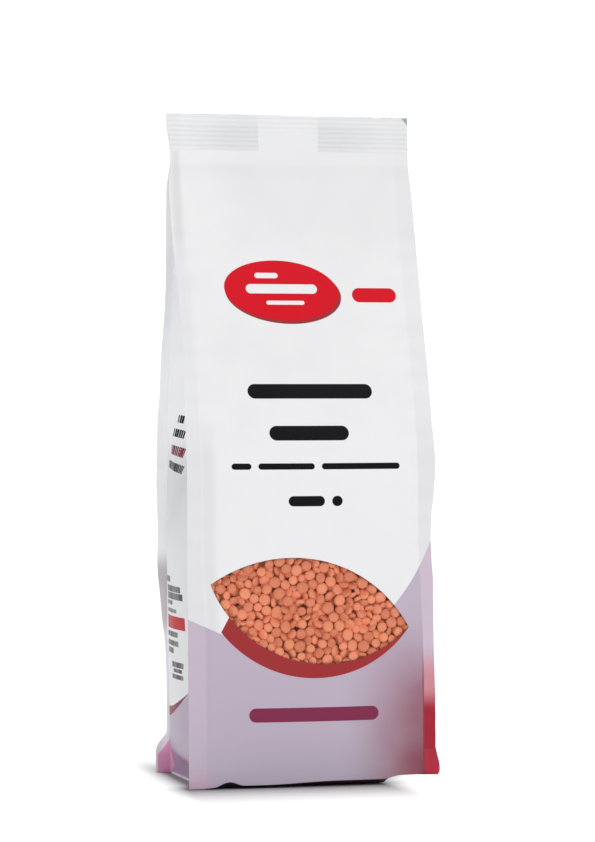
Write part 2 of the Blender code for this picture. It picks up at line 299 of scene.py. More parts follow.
def ringStations():
    # Once round the pouch from the front left fin, as (panel, place), and back to the first
    stations = []
    for panel in ("front", "right", "back", "left"):
        half = halfWidth if panel in ("front", "back") else halfGusset
        steps = pouch["panelSteps"] if panel in ("front", "back") else pouch["gussetSteps"]
        fin, finSteps = pouch["finWidth"], pouch["finSteps"]
        stations += [(panel, -half - fin * (1.0 - k / finSteps)) for k in range(finSteps)]
        along = [-1.0 + 2.0 * k / steps for k in range(steps + 1)]  # closer together near the seams
        stations += [(panel, half * (0.65 * share + 0.35 * math.sin(math.pi / 2 * share))) for share in along]
        stations += [(panel, half + fin * k / finSteps) for k in range(1, finSteps + 1)]
    return stations + [stations[0]]


def rowHeights():
    # From the folded base, whose rows are counted below zero, up the walls and through the seal
    rows = int(round(sealStart / pouch["rowGap"]))
    sealRows = int(round(pouch["sealHeight"] / pouch["sealRowGap"]))
    walls = [sealStart * k / rows for k in range(rows)]
    seal = [sealStart + pouch["sealHeight"] * k / sealRows for k in range(sealRows + 1)]
    return [-2.0, -1.0] + walls + seal


# The two rows of the folded base: how far in from the panels, and how high
baseRows = ((0.0030, 0.0005), (0.0070, 0.0))


def filmPoint(panel, place, row):
    # A point of the film on any row; the base is drawn further in where the side hangs clear of the floor
    if row >= 0.0:
        return skinPoint(panel, place, row)
    inset, height = baseRows[int(-row) - 1]
    edge = skinPoint(panel, place, 0.0)
    hang = cornerHang(edge.x, edge.y)
    reachX, reachY = halfWidth - inset - pouch["baseHang"] * hang, pouch["depth"] / 2 + 0.0006 - inset
    if row > -2.0:
        height += (edge.z - height) * hang
    return Vector((max(-halfWidth + inset, min(reachX, edge.x)), max(-reachY, min(reachY, edge.y)), height))


def deselectAll():
    if bpy.context.object and bpy.context.object.mode != "OBJECT":
        bpy.ops.object.mode_set(mode="OBJECT")
    bpy.ops.object.select_all(action="DESELECT")


def pickOnly(obj):
    deselectAll()
    obj.select_set(True)
    bpy.context.view_layer.objects.active = obj


def applyModifier(obj, kind, **settings):
    pickOnly(obj)
    modifier = obj.modifiers.new(kind.title(), kind)
    for key, value in settings.items():
        setattr(modifier, key, value)
    bpy.ops.object.modifier_apply(modifier=modifier.name)


def smoothByAngle(obj, degrees=38.0):
    pickOnly(obj)
    bpy.ops.object.shade_smooth_by_angle(angle=math.radians(degrees))


def faceOutwards(obj):
    pickOnly(obj)
    bpy.ops.object.mode_set(mode="EDIT")
    bpy.ops.mesh.select_all(action="SELECT")
    bpy.ops.mesh.normals_make_consistent(inside=False)
    bpy.ops.object.mode_set(mode="OBJECT")


def removeObjects(*objects):
    for obj in objects:
        bpy.data.objects.remove(obj)


def printPlace(panel, place, row):
    # Where a point of the film lies on the flat web, in tenths of a metre; the folded base counts below zero
    return (webMiddle[panel] + place / mm) / 100.0, row / mm / 100.0 if row >= 0.0 else 0.05 * row


def makeSkin():
    # A grid rolled into a tube by the film's own rule, with its flat print coordinates kept as a UV map
    stations, heights = ringStations(), rowHeights()
    columns, rows = len(stations), len(heights)
    deselectAll()
    bpy.ops.mesh.primitive_grid_add(x_subdivisions=columns - 1, y_subdivisions=rows - 1, size=1.0)
    skin = bpy.context.object
    skin.name = skin.data.name = "printedPouch"
    web = skin.data.uv_layers.new(name="web")
    skin.data.uv_layers.active = web
    for other in [layer.name for layer in skin.data.uv_layers if layer.name != "web"]:
        skin.data.uv_layers.remove(skin.data.uv_layers[other])
    web = skin.data.uv_layers["web"]
    for vertex in skin.data.vertices:
        vertex.co = filmPoint(*stations[vertex.index % columns], heights[vertex.index // columns])
    for face in skin.data.polygons:
        # a face between two panels is the cut edge of a fin and takes the first panel's print
        column = min(skin.data.loops[k].vertex_index % columns for k in face.loop_indices)
        panel, place = stations[column]
        for k in face.loop_indices:
            row, vertexColumn = divmod(skin.data.loops[k].vertex_index, columns)
            nearPanel, nearPlace = stations[vertexColumn]
            samePanel = nearPanel == panel and vertexColumn < columns - 1
            web.data[k].uv = printPlace(panel, nearPlace if samePanel else place, heights[row])
    # close the tube along its repeated column, then the base and the top edge
    bpy.ops.object.mode_set(mode="EDIT")
    bpy.ops.mesh.select_all(action="SELECT")
    bpy.ops.mesh.remove_doubles(threshold=0.00003)
    bpy.ops.mesh.fill_holes(sides=0)
    bpy.ops.object.mode_set(mode="OBJECT")
    faceOutwards(skin)
    return skin


def lensOutline(grow=0.0):
    length = window["halfLength"] + grow
    points = []
    for side, height in ((1, window["rise"] + grow), (-1, window["drop"] + grow)):
        radius = (length ** 2 + height ** 2) / (2.0 * height)
        sweep = math.asin(length / radius)
        for step in range(window["steps"]):
            angle = side * sweep * (1.0 - 2.0 * step / window["steps"])
            out = radius * math.cos(angle) - radius + height
            points.append(Vector((radius * math.sin(angle), side * out)))
    turn = Matrix.Rotation(window["tilt"], 2)
    return [turn @ point + Vector((window["x"], window["z"])) for point in points]


def carryBack(obj, backY):
    # Extrudes a flat or curved sheet straight back to a plane and closes it
    pickOnly(obj)
    bpy.ops.object.mode_set(mode="EDIT")
    bpy.ops.mesh.select_all(action="SELECT")
    bpy.ops.mesh.extrude_region_move(TRANSFORM_OT_translate=dict(value=(0.0, 0.001, 0.0)))
    bpy.ops.object.mode_set(mode="OBJECT")
    for vertex in obj.data.vertices:
        if vertex.select:
            vertex.co.y = backY
    faceOutwards(obj)


def lensPrism(name, grow, frontY, backY):
    # The window's outline carried straight back through the film
    outline = lensOutline(grow)
    deselectAll()
    bpy.ops.mesh.primitive_circle_add(vertices=len(outline), radius=0.01, fill_type="NGON")
    prism = bpy.context.object
    prism.name = prism.data.name = name
    for vertex, point in zip(prism.data.vertices, outline):
        vertex.co = (point.x, frontY, point.y)
    carryBack(prism, backY)
    return prism


def frontPatch(name, spanX, spanZ, gap, behind):
    # A piece of the front film's own surface, moved in behind it
    lowX, highX = spanX
    lowZ, highZ = spanZ
    deselectAll()
    bpy.ops.mesh.primitive_grid_add(x_subdivisions=int((highX - lowX) / gap),
                                    y_subdivisions=int((highZ - lowZ) / gap), size=1.0)
    patch = bpy.context.object
    patch.name = patch.data.name = name
    for vertex in patch.data.vertices:
        x = lowX + (highX - lowX) * (vertex.co.x + 0.5)
        z = lowZ + (highZ - lowZ) * (vertex.co.y + 0.5)
        vertex.co = skinPoint("front", x, z) + Vector((0.0, behind, 0.0))
    return patch


def cutWindow(skin):
    # A pocket for the lentils just behind the film, then the window through the film
    reachX, reachZ = halfWidth - 0.0012, 0.027
    spanZ = (window["z"] - reachZ, window["z"] + reachZ)
    pocket = frontPatch("pocket", (-reachX, reachX), spanZ, 0.0012, window["lip"])
    carryBack(pocket, window["pocketFloor"])
    opening = lensPrism("opening", 0.0, -0.050, window["pocketFloor"] - 0.0005)
    for cutter in (pocket, opening):
        for ink in skin.data.materials:
            cutter.data.materials.append(ink)
        for face in cutter.data.polygons:
            face.material_index = 1
        applyModifier(skin, "BOOLEAN", operation="DIFFERENCE", solver="EXACT", object=cutter)
    removeObjects(pocket, opening)


def makeWindowFilm():
    reachX, reachZ = window["halfLength"] + 0.001, 0.024
    film = frontPatch("clearWindow", (window["x"] - reachX, window["x"] + reachX),
                      (window["z"] - reachZ, window["z"] + reachZ), 0.0010, 0.00003)
    applyModifier(film, "SOLIDIFY", thickness=window["filmThickness"], offset=-1.0)
    faceOutwards(film)
    edge = lensPrism("windowEdge", 0.00012, -0.050, -0.020)
    applyModifier(film, "BOOLEAN", operation="INTERSECT", solver="EXACT", object=edge)
    removeObjects(edge)
    return film


# Lentils behind the window: sizes in metres, and how each layer lies
lentils = dict(
    seed=23, radius=(0.00158, 0.00242), flatness=0.40, reachBeyond=0.0022, sides=12, rings=6, shapes=7,
    leftWall=-0.0408, front=245, frontSpread=0.0005, steps=120, push=0.35, pull=0.985,
    standing=0.48, standTilt=(34, 72), lieTilt=16, standPrint=0.74, liePrint=0.93,
    looseLayers=((3000, 0.0016), (2000, 0.0032)), looseSpread=0.0003, looseReach=0.003, looseTilt=(0, 55),
    loosePrint=0.72,
)


def insideLens(u, w, grow):
    length, height = window["halfLength"] + grow, (window["rise"] if w > 0.0 else window["drop"]) + grow
    radius = (length ** 2 + height ** 2) / (2.0 * height)
    return u * u + (abs(w) + radius - height) ** 2 < radius ** 2


def packFront(draw):
    # Lentils pressed against the film: scattered, then pushed apart until they lie side by side
    grow = lentils["reachBeyond"]
    length, height = window["halfLength"] + grow, window["drop"] + grow
    placed = []
    while len(placed) < lentils["front"]:
        u, w = draw.uniform(-length, length), draw.uniform(-height, height)
        if not insideLens(u, w, grow):
            continue
        size = draw.uniform(*lentils["radius"])
        standing = draw.random() < lentils["standing"]
        tilt = draw.uniform(*lentils["standTilt"]) if standing else abs(draw.gauss(0, lentils["lieTilt"]))
        footprint = size * lentils["standPrint" if standing else "liePrint"]
        placed.append(dict(u=u, w=w, size=size, footprint=footprint, tilt=math.radians(tilt),
                           turn=draw.uniform(0, 2 * math.pi), tone=draw.random(),
                           depth=draw.uniform(0.0, lentils["frontSpread"])))
    spots = np.array([(p["u"], p["w"]) for p in placed])
    reach = np.array([p["footprint"] for p in placed])
    for step in range(lentils["steps"]):
        apart = spots[:, None, :] - spots[None, :, :]
        distance = np.linalg.norm(apart, axis=2) + 1e-9
        overlap = np.clip(reach[:, None] + reach[None, :] - distance, 0.0, None)
        np.fill_diagonal(overlap, 0.0)
        spots += lentils["push"] * (apart / distance[:, :, None] * overlap[:, :, None]).sum(axis=1)
        for index, (u, w) in enumerate(spots):
            if not insideLens(u, w, grow):
                spots[index] *= lentils["pull"]
    for place, (u, w) in zip(placed, spots):
        place.update(u=float(u), w=float(w))
    return placed


def lentilPlaces(draw):
    # The front layer packed against the film, then two looser layers behind it
    placed = packFront(draw)
    length, height = window["halfLength"] + lentils["looseReach"], window["drop"] + lentils["looseReach"]
    for tries, depth in lentils["looseLayers"]:
        layer = []
        for attempt in range(tries):
            u, w = draw.uniform(-length, length), draw.uniform(-height, height)
            size = draw.uniform(*lentils["radius"])
            if not insideLens(u, w, lentils["reachBeyond"]):
                continue
            footprint = size * lentils["loosePrint"]
            if any((u - p["u"]) ** 2 + (w - p["w"]) ** 2 < (footprint + p["footprint"]) ** 2 for p in layer):
                continue
            tilt, spread = math.radians(draw.uniform(*lentils["looseTilt"])), lentils["looseSpread"]
            layer.append(dict(u=u, w=w, size=size, footprint=footprint, tilt=tilt,
                              turn=draw.uniform(0, 2 * math.pi), tone=draw.random(),
                              depth=depth + draw.uniform(-spread, spread)))
        placed += layer
    return placed


def lentilShape(draw):
    # One seed: a flat round with full faces and a soft rim, a little uneven
    deselectAll()
    bpy.ops.mesh.primitive_uv_sphere_add(segments=lentils["sides"], ring_count=lentils["rings"], radius=1.0)
    seed = bpy.context.object
    squash = lentils["flatness"] * draw.uniform(0.92, 1.12)
    oval = draw.uniform(0.93, 1.0)
    phase = draw.uniform(0, 6.28)
    for vertex in seed.data.vertices:
        x, y, z = vertex.co
        ring = math.hypot(x, y)
        uneven = 1.0 + 0.025 * math.sin(2 * math.atan2(y, x) + phase)
        full = math.copysign(abs(z) ** 0.56, z) * squash
        vertex.co = (x * uneven * (1.0 + 0.05 * (1 - ring)), y * oval * uneven, full)
    mesh = seed.data
    bpy.data.objects.remove(seed)
    return mesh


def makeLentils():
    draw = random.Random(lentils["seed"])
    shapes = [lentilShape(draw) for _ in range(lentils["shapes"])]
    turnLens = Matrix.Rotation(window["tilt"], 2)
    bm = bmesh.new()
    tone = bm.verts.layers.float.new("seedTone")
    for place in lentilPlaces(draw):
        point = turnLens @ Vector((place["u"], place["w"])) + Vector((window["x"], window["z"]))
        film = skinPoint("front", max(-halfWidth, min(halfWidth, point.x)), point.y)
        flat = lentils["flatness"] * place["size"]
        reach = math.hypot(place["size"] * math.sin(place["tilt"]), flat * math.cos(place["tilt"]))
        slope = point.x / halfWidth * 2.0 * pouch["frontBulge"] / halfWidth
        facing = Matrix.Rotation(math.pi / 2, 4, "X")
        follow = Matrix.Rotation(slope, 4, "Z")
        lean = Matrix.Rotation(place["tilt"], 4, (math.cos(place["turn"]), 0.0, math.sin(place["turn"])))
        spin = Matrix.Rotation(draw.uniform(0, 6.28), 4, "Z")
        centre = Vector((film.x, film.y + window["lip"] + 0.00006 + reach + place["depth"], film.z))
        centre.x = max(centre.x, lentils["leftWall"] + place["size"])
        matrix = Matrix.Translation(centre) @ follow @ lean @ facing @ spin @ Matrix.Scale(place["size"], 4)
        before = len(bm.verts)
        bm.from_mesh(shapes[draw.randrange(len(shapes))])
        bm.verts.ensure_lookup_table()
        added = bm.verts[before:]
        for vert in added:
            vert.co = matrix @ vert.co
            vert[tone] = place["tone"]
    mesh = bpy.data.meshes.new("lentilHeap")
    bm.to_mesh(mesh)
    bm.free()
    for shape in shapes:
        bpy.data.meshes.remove(shape)
    heap = bpy.data.objects.new("lentilHeap", mesh)
    bpy.context.scene.collection.objects.link(heap)
    for face in mesh.polygons:
        face.use_smooth = True
    return heap


# Shader helpers

def addNode(tree, kind, settings=None, **inputs):
    node = tree.nodes.new(kind)
    for key, value in (settings or {}).items():
        setattr(node, key, value)
    for key, value in inputs.items():
        plug(tree, node.inputs[key.replace("_", " ")], value)
    return node


def plug(tree, socket, value):
    if isinstance(value, bpy.types.NodeSocket):
        tree.links.new(value, socket)
    else:
        socket.default_value = value


def maths(tree, operation, *values):
    node = tree.nodes.new("ShaderNodeMath")
    node.operation = operation
    for index, value in enumerate(values):
        plug(tree, node.inputs[index], value)
    return node.outputs[0]


def times(tree, *values):
    product = values[0]
    for value in values[1:]:
        product = maths(tree, "MULTIPLY", product, value)
    return product


def plus(tree, first, second):
    return maths(tree, "ADD", first, second)


def minus(tree, first, second):
    return maths(tree, "SUBTRACT", first, second)


def fromLine(tree, value, middle):
    return maths(tree, "ABSOLUTE", minus(tree, value, middle))


def split(tree, vector):
    return addNode(tree, "ShaderNodeSeparateXYZ", Vector=vector).outputs


def joined(tree, x, y):
    return addNode(tree, "ShaderNodeCombineXYZ", X=x, Y=y).outputs[0]


def cloudy(tree, vector, scale, detail, roughness=0.5):
    return addNode(tree, "ShaderNodeTexNoise", Vector=vector, Scale=scale, Detail=detail,
                   Roughness=roughness).outputs["Fac"]


def objectPlace(tree):
    return addNode(tree, "ShaderNodeTexCoord").outputs["Object"]


def vectors(tree, operation, *values):
    node = tree.nodes.new("ShaderNodeVectorMath")
    node.operation = operation
    for index, value in enumerate(values):
        if operation == "SCALE" and index == 1:
            plug(tree, node.inputs["Scale"], value)
        else:
            plug(tree, node.inputs[index], value)
    return node.outputs["Value" if operation == "LENGTH" else "Vector"]


def ramp(tree, value, low, high, start=0.0, end=1.0):
    node = addNode(tree, "ShaderNodeMapRange", dict(interpolation_type="SMOOTHSTEP"), Value=value)
    for key, number in (("From Min", low), ("From Max", high), ("To Min", start), ("To Max", end)):
        plug(tree, node.inputs[key], number)
    return node.outputs["Result"]


def paint(tree, under, mask, colour):
    # Lays one ink over another where the mask is 1
    node = tree.nodes.new("ShaderNodeMix")
    node.data_type = "RGBA"
    plug(tree, node.inputs[0], mask)
    for index, ink in ((6, under), (7, colour)):
        plug(tree, node.inputs[index], ink if isinstance(ink, bpy.types.NodeSocket) else (*ink, 1.0))
    return node.outputs[2]


def paintBands(tree, colour, axes, bands, swaps=None):
    # A band is an ink and its soft steps, each with its axis, its start and end, and the strengths there
    for name, *steps in bands:
        masks = [ramp(tree, axes[axis], *span) if span else axes[axis] for axis, *span in steps]
        colour = paint(tree, colour, times(tree, *masks), inks[(swaps or {}).get(name, name)])
    return colour


def newGroup(name, inputs, outputs):
    tree = bpy.data.node_groups.new(name, "ShaderNodeTree")
    for label, kind in inputs:
        tree.interface.new_socket(label, in_out="INPUT", socket_type="NodeSocket" + kind)
    for label, kind in outputs:
        tree.interface.new_socket(label, in_out="OUTPUT", socket_type="NodeSocket" + kind)
    return tree, tree.nodes.new("NodeGroupInput"), tree.nodes.new("NodeGroupOutput")


def useGroup(tree, group, **inputs):
    node = tree.nodes.new("ShaderNodeGroup")
    node.node_tree = group
    for key, value in inputs.items():
        plug(tree, node.inputs[key[0].upper() + key[1:]], value)
    return node.outputs[0]


inkEdge = 0.07  # softness of a printed edge, in millimetres


def edgeMask(tree, distance):
    return ramp(tree, distance, inkEdge, -inkEdge)


def makeBarGroup():
    # A rounded bar on the web
    tree, enter, leave = newGroup("roundedBar", [("Web", "Vector"), ("Middle", "Vector"), ("Half", "Vector"),
                                                 ("Corner", "Float")], [("Mask", "Float")])
    away = vectors(tree, "ABSOLUTE", vectors(tree, "SUBTRACT", enter.outputs["Web"], enter.outputs["Middle"]))
    corner = joined(tree, enter.outputs["Corner"], enter.outputs["Corner"])
    inner = vectors(tree, "SUBTRACT", enter.outputs["Half"], corner)
    outside = vectors(tree, "MAXIMUM", vectors(tree, "SUBTRACT", away, inner), (0.0, 0.0, 0.0))
    distance = minus(tree, vectors(tree, "LENGTH", outside), enter.outputs["Corner"])
    tree.links.new(edgeMask(tree, distance), leave.inputs["Mask"])
    return tree


def makeOvalGroup():
    # A tilted oval on the web
    tree, enter, leave = newGroup("printedOval", [("Web", "Vector"), ("Middle", "Vector"), ("Half", "Vector"),
                                                  ("Tilt", "Float")], [("Mask", "Float")])
    away = vectors(tree, "SUBTRACT", enter.outputs["Web"], enter.outputs["Middle"])
    turned = addNode(tree, "ShaderNodeVectorRotate", dict(rotation_type="Z_AXIS"), Vector=away,
                     Angle=times(tree, enter.outputs["Tilt"], -1.0)).outputs[0]
    scaled = vectors(tree, "LENGTH", vectors(tree, "DIVIDE", turned, enter.outputs["Half"]))
    distance = times(tree, minus(tree, scaled, 1.0), split(tree, enter.outputs["Half"])["Y"])
    tree.links.new(edgeMask(tree, distance), leave.inputs["Mask"])
    return tree


def makeSweepGroup():
    # Everything below a sweeping edge, a cubic in the distance from the panel's middle
    tree, enter, leave = newGroup("sweepField", [("Web", "Vector"), ("Middle", "Float"), ("A0", "Float"),
                                                 ("A1", "Float"), ("A2", "Float"), ("A3", "Float")],
                                  [("Mask", "Float")])
    parts = split(tree, enter.outputs["Web"])
    u = minus(tree, parts["X"], enter.outputs["Middle"])
    edge = enter.outputs["A3"]
    for name in ("A2", "A1", "A0"):
        edge = maths(tree, "MULTIPLY_ADD", u, edge, enter.outputs[name])
    distance = minus(tree, parts["Y"], edge)
    tree.links.new(edgeMask(tree, distance), leave.inputs["Mask"])
    return tree


# The dashes of small print, as shares of a dash and of a row
dashes = dict(gap=0.05, gapSpread=0.22, soft=0.03, halfHeight=0.25, shorter=0.22)


def makeTextBlockGroup():
    # Rows of small dashes of uneven length, as a block of small print reads from a step away
    tree, enter, leave = newGroup("smallPrint", [("Web", "Vector"), ("Corner", "Vector"), ("Size", "Vector"),
                                                 ("Pitch", "Float"), ("Dash", "Float")], [("Mask", "Float")])
    away = split(tree, vectors(tree, "SUBTRACT", enter.outputs["Web"], enter.outputs["Corner"]))
    size = split(tree, enter.outputs["Size"])
    across, down = away["X"], times(tree, away["Y"], -1.0)
    rows = maths(tree, "DIVIDE", down, enter.outputs["Pitch"])
    row = maths(tree, "FLOOR", rows)
    shift = addNode(tree, "ShaderNodeTexWhiteNoise", dict(noise_dimensions="1D"), W=row).outputs["Value"]
    steps = plus(tree, maths(tree, "DIVIDE", across, enter.outputs["Dash"]), shift)
    cell = joined(tree, maths(tree, "FLOOR", steps), row)
    uneven = addNode(tree, "ShaderNodeTexWhiteNoise", dict(noise_dimensions="2D"), Vector=cell)
    gap = maths(tree, "MULTIPLY_ADD", uneven.outputs["Value"], dashes["gapSpread"], dashes["gap"])
    inDash = ramp(tree, minus(tree, maths(tree, "FRACT", steps), gap), -dashes["soft"], dashes["soft"])
    inInk = maths(tree, "LESS_THAN", fromLine(tree, maths(tree, "FRACT", rows), 0.5), dashes["halfHeight"])
    rowEnd = times(tree, size["X"], maths(tree, "MULTIPLY_ADD", shift, -dashes["shorter"], 1.0))
    inWidth = times(tree, maths(tree, "GREATER_THAN", across, 0.0), maths(tree, "LESS_THAN", across, rowEnd))
    inHeight = times(tree, maths(tree, "GREATER_THAN", down, 0.0), maths(tree, "LESS_THAN", down, size["Y"]))
    mask = times(tree, inDash, inInk, inWidth, inHeight)
    tree.links.new(mask, leave.inputs["Mask"])
    return tree


# The inks, the film's own white, and the greys and lighter tones painted on the film and its sides as shade
# and highlight
inks = dict(
    white=(0.86, 0.86, 0.87), paleGrey=(0.79, 0.79, 0.805), shadeGrey=(0.76, 0.76, 0.77),
    grooveShade=(0.68, 0.68, 0.695), sealShade=(0.70, 0.715, 0.73), foldShade=(0.64, 0.64, 0.68),
    cornerShadeGrey=(0.36, 0.40, 0.40), thinFinShade=(0.735, 0.735, 0.75), backFin=(0.93, 0.93, 0.945),
    shadedSideFilm=(0.715, 0.72, 0.735), sideUpper=(0.86, 0.865, 0.88), undersideShade=(0.035, 0.014, 0.022),
    lilac=(0.50, 0.43, 0.53), lilacPink=(0.55, 0.465, 0.565), lilacLow=(0.58, 0.51, 0.61),
    finLilac=(0.59, 0.49, 0.585), shadedSideLilac=(0.43, 0.37, 0.46), tuckShadeLilac=(0.43, 0.30, 0.44),
    mauveShade=(0.53, 0.49, 0.52), rim=(0.78, 0.72, 0.79), pink=(0.76, 0.36, 0.55), rose=(0.60, 0.26, 0.30),
    dusk=(0.20, 0.050, 0.072), duskSoft=(0.29, 0.118, 0.155), wine=(0.22, 0.030, 0.075),
    red=(0.68, 0.006, 0.018), deepRed=(0.34, 0.034, 0.038), boxRed=(0.45, 0.003, 0.012),
    finRed=(0.37, 0.022, 0.042), litEarRed=(0.46, 0.036, 0.060), arc=(0.19, 0.006, 0.034),
    black=(0.005, 0.0045, 0.006), grey=(0.08, 0.07, 0.09),
)

# The sweeping edge of the lower colour, a cubic across a main panel in millimetres
sweep = dict(a0=49.49, a1=0.1253, a2=0.01234, a3=0.0000800)

# The shades of the lower colour, in order: an ink and its soft steps across (u) and up (v) a main panel, in
# millimetres: where each starts and ends, and the strengths there where they aren't 0 and 1
lowerShades = [
    ("lilacPink", ("u", -40.6, -41.4)),
    ("finLilac", ("u", 40.8, 41.2)),
    ("pink", ("u", -37.0, -42.0), ("v", 9.0, 0.0, 0.0, 0.6)),
    ("lilacLow", ("v", 30.0, 2.0, 0.0, 0.45)),
    ("duskSoft", ("u", 8.0, 41.0), ("v", 68.0, 22.0), ("onPanel",), ("cloud", 0.25, 0.75, 0.85, 1.1)),
    ("dusk", ("u", 28.0, 45.0), ("v", 24.0, 3.0, 0.0, 0.8), ("onPanel",)),
    ("finUpper", ("u", 40.8, 41.2), ("v", 53.0, 39.0)),
    ("finLower", ("u", 40.8, 41.2), ("v", 36.5, 27.0)),
    # on the front, the ear below the crease is painted a lighter red as a highlight
    ("ear", ("u", 40.8, 41.2), ("v", 11.6, 11.2)),
    # on the front, painted shade in the crease across the fin's foot; pale on the back
    ("earCrease", ("u", 40.8, 41.2), ("fromCrease", 0.40, 0.10, 0.0, 0.7)),
    ("dusk", ("fromSeam", 0.45, 0.10), ("v", 52.0, 38.0, 0.0, 0.8)),
]

# The inks of the fin beside it, which differ between front and back: on the front the crease across the ear
# is a dark painted shade, and the ear below it a lighter red, a painted highlight
finInks = dict(front=dict(finUpper="rose", finLower="finRed", ear="litEarRed", earCrease="dusk"),
               back=dict(finUpper="lilacPink", finLower="rim", ear="pink", earCrease="rim"))

# The badge, in millimetres at full size: how far its dark rim shows, its half size, and its bars' places
# and half sizes
badge = dict(front=(-6.4, 183.6), backHeight=196.0, backScale=0.62,
             rim=1.1, half=(22.0, 11.4), inner=0.985, tilt=math.radians(-4.0),
             bars=[((-5.5, 5.6), (4.4, 1.0)), ((0.0, 0.6), (13.5, 1.75)), ((1.0, -4.6), (7.2, 0.75))])

# The red crescent under the window, in millimetres seen from the front: a circle, cut off at its left end
crescent = dict(x=0.48, z=85.35, radius=45.02, cutX=-34.9, cutZ=57.8, cutSlope=0.522)

# The front's printed shapes, in millimetres on the web: middle, half size, corner, ink
frontBars = [
    dict(middle=(29.0, 182.0), half=(8.6, 2.7), corner=2.7, ink="red"),
    dict(middle=(0.9, 146.0), half=(23.6, 2.7), corner=2.7, ink="black"),
    dict(middle=(-0.8, 130.6), half=(15.0, 2.7), corner=2.7, ink="black"),
    dict(middle=(-26.4, 118.4), half=(3.6, 1.15), corner=1.15, ink="black"),
    dict(middle=(-9.9, 118.4), half=(10.4, 1.15), corner=1.15, ink="black"),
    dict(middle=(18.4, 118.4), half=(15.2, 1.15), corner=1.15, ink="black"),
    dict(middle=(-2.6, 105.6), half=(6.8, 1.9), corner=1.9, ink="black"),
    dict(middle=(9.0, 105.6), half=(2.0, 1.9), corner=1.9, ink="black"),
    dict(middle=(-0.8, 27.0), half=(24.4, 2.6), corner=2.6, ink="wine"),
]


def paintBars(tree, web, colour, bars, groups):
    for bar in bars:
        mask = useGroup(tree, groups["bar"], web=web, middle=(*bar["middle"], 0.0), half=(*bar["half"], 0.0),
                        corner=bar["corner"])
        colour = paint(tree, colour, mask, inks[bar["ink"]])
    return colour


def paintBadge(tree, web, colour, middle, scale, groups):
    # A plain oval badge with three short bars
    x, y = middle
    halfX, halfY = badge["half"]
    for ink, drop, grow in (("deepRed", badge["rim"], 1.0), ("red", 0.0, badge["inner"])):
        mask = useGroup(tree, groups["oval"], web=web, middle=(x + drop * 0.5, y - drop, 0.0),
                        half=(halfX * scale * grow, halfY * scale * grow, 1.0), tilt=badge["tilt"])
        colour = paint(tree, colour, mask, inks[ink])
    bars = [dict(middle=(x + right * scale, y + up * scale), half=(halfWide * scale, halfHigh * scale),
                 corner=halfHigh * scale, ink="white") for (right, up), (halfWide, halfHigh) in badge["bars"]]
    return paintBars(tree, web, colour, bars, groups)


def paintLowerColour(tree, web, colour, panel, groups):
    # The lilac field of a main panel, dusky towards its lower right corner and red on the front's fin there
    parts = split(tree, web)
    u, v = minus(tree, parts["X"], webMiddle[panel]), parts["Y"]
    axes = dict(u=u, v=v, cloud=cloudy(tree, web, 0.045, 2.0),
                onPanel=maths(tree, "LESS_THAN", u, halfWidth / mm),
                fromSeam=fromLine(tree, u, 40.9), fromCrease=fromLine(tree, v, 11.6))
    lilac = paintBands(tree, inks["lilac"], axes, lowerShades, finInks[panel])
    field = useGroup(tree, groups["sweep"], web=web, middle=webMiddle[panel], **sweep)
    return paint(tree, colour, field, lilac)


def paintCrescent(tree, colour, place):
    parts = split(tree, vectors(tree, "SCALE", place, 1.0 / mm))
    x, z = parts["X"], parts["Z"]
    away = joined(tree, minus(tree, x, crescent["x"]), minus(tree, z, crescent["z"]))
    disc = edgeMask(tree, minus(tree, vectors(tree, "LENGTH", away), crescent["radius"]))
    slope, cutSlope = math.tan(window["tilt"]), crescent["cutSlope"]
    axis = maths(tree, "MULTIPLY_ADD", x, slope, (window["z"] - window["x"] * slope) / mm)
    below = maths(tree, "LESS_THAN", z, axis)
    cut = maths(tree, "MULTIPLY_ADD", z, cutSlope, crescent["cutX"] - crescent["cutZ"] * cutSlope)
    right = edgeMask(tree, minus(tree, cut, x))
    return paint(tree, colour, times(tree, disc, below, right), inks["deepRed"])


def paintFront(tree, web, colour, place, groups):
    colour = paintLowerColour(tree, web, colour, "front", groups)
    colour = paintCrescent(tree, colour, place)
    colour = paintBadge(tree, web, colour, badge["front"], 1.0, groups)
    return paintBars(tree, web, colour, frontBars, groups)


def paintSmallPrint(tree, web, colour, blocks, groups):
    for block in blocks:
        mask = useGroup(tree, groups["text"], web=web, corner=(*block["corner"], 0.0),
                        size=(*block["size"], 0.0), pitch=block["pitch"], dash=block["dash"])
        colour = paint(tree, colour, mask, inks[block["ink"]])
    return colour


# The back's blocks of small print and its table, in millimetres from its middle and up the web
backPrint = [
    dict(corner=(-33.0, 178.0), size=(28.0, 24.0), pitch=2.4, dash=5.0, ink="black"),
    dict(corner=(7.0, 178.0), size=(27.0, 24.0), pitch=2.4, dash=5.0, ink="black"),
    dict(corner=(-33.0, 146.0), size=(66.0, 12.0), pitch=2.4, dash=6.5, ink="grey"),
    dict(corner=(-33.0, 82.0), size=(30.0, 12.0), pitch=2.4, dash=4.0, ink="black"),
]
backTable = dict(top=126.0, pitch=6.0, rules=6, ruleHalf=(33.0, 0.16), words=-22.0, figures=26.0,
                 wordHalves=(9.0, 7.5, 6.0), figureHalf=4.0, inkHalf=0.8)


